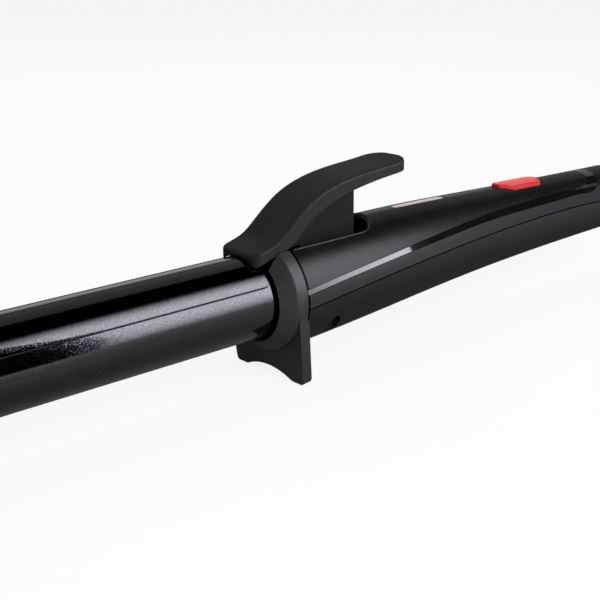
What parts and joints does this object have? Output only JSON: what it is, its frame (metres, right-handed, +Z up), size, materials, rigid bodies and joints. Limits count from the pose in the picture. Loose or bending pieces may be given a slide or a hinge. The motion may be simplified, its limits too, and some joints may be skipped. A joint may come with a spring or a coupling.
{
  "type": "curling iron",
  "caption": "Hair curling iron: a round heated barrel with a long spring clip and thumb lever, a collar with resting feet, a two-shell handle with a red button and a swivel cord inlet.",
  "frame": {"origin": "under the middle of the length, at the height of the two resting feet", "axes": "+X along the barrel axis from the tip towards the cord end, +Z up through the thumb lever"},
  "size_m": [0.3784, 0.035, 0.0625],
  "materials": {
    "barrel_coat": "black coat with fine metallic glitter under gloss",
    "clip_coat": "black coat with fine metallic glitter under gloss",
    "tip_plastic": "matte moulded black",
    "rivet_steel": "satin",
    "collar_plastic": "matte fine-textured black",
    "upper_plastic": "satin black",
    "lower_plastic": "satin black",
    "trim_gloss": "high gloss black",
    "lever_plastic": "soft matte black",
    "pin_steel": "ground",
    "spring_steel": "oiled wire",
    "carrier_plastic": "glass filled, matte",
    "screw_steel": "zinc plated",
    "spreader_aluminium": "extruded",
    "stone_ceramic": "sintered, dark",
    "contact_brass": "stamped",
    "film_amber": "thin amber film",
    "sensor_glass": "coated bead",
    "fuse_metal": "tinned",
    "wire_sleeve": "silicone sleeve",
    "board_green": "solder mask",
    "component_black": "moulded",
    "window_gloss": "pale rose tint, polished",
    "display_plastic": "white reflector block",
    "button_red": "red with a fine raised pattern on top",
    "plunger_plastic": "moulded",
    "gland_plastic": "matte moulded black"
  },
  "bodies": {
    "handle": {"barrel": "barrel_coat", "cool_tip": "tip_plastic", "collar_stand": "collar_plastic", "upper_shell": "upper_plastic", "lower_shell": "lower_plastic", "trim_strip": "trim_gloss", "lever_pin": "pin_steel", "barrel_carrier": "carrier_plastic", "front_screws": "screw_steel", "rear_screw": "screw_steel", "heat_spreader_top": "spreader_aluminium", "heat_spreader_bottom": "spreader_aluminium", "heating_stones": "stone_ceramic", "contact_plates": "contact_brass", "insulation_film": "film_amber", "temperature_sensor": "sensor_glass", "thermal_fuse": "fuse_metal", "heater_wires": "wire_sleeve", "sensor_leads": "wire_sleeve", "supply_wires": "wire_sleeve", "circuit_board": "board_green", "board_components": "component_black", "display_window": "window_gloss", "display_module": "display_plastic", "push_switch": "component_black", "contact_leaves": "contact_brass", "leaf_block": "component_black"},
    "lever": {"lever": "lever_plastic", "clip": "clip_coat", "clip_rivets": "rivet_steel", "lever_spring": "spring_steel"},
    "button": {"power_button": "button_red", "switch_plunger": "plunger_plastic"},
    "gland": {"cord_gland": "gland_plastic", "contact_rings": "contact_brass"}
  },
  "joints": [
    {"name": "lever_pivot", "type": "hinge", "parent": "handle", "child": "lever", "pos_m": [0.0068, 0, 0.0343], "axis": [0, 1, 0], "range_deg": [0, 18.5], "stiffness_Nm_per_rad": 0.6, "springref_deg": -14.32, "deforming": ["lever_spring"]},
    {"name": "button_press", "type": "slide", "parent": "handle", "child": "button", "axis": [0, 0, -1], "range_m": [0, 0.0008], "stiffness_N_per_m": 1000, "springref_m": -0.0005},
    {"name": "gland_swivel", "type": "hinge", "parent": "handle", "child": "gland", "pos_m": [0.1828, 0, 0.0293], "axis": [1, 0, 0], "continuous": true}
  ]
}
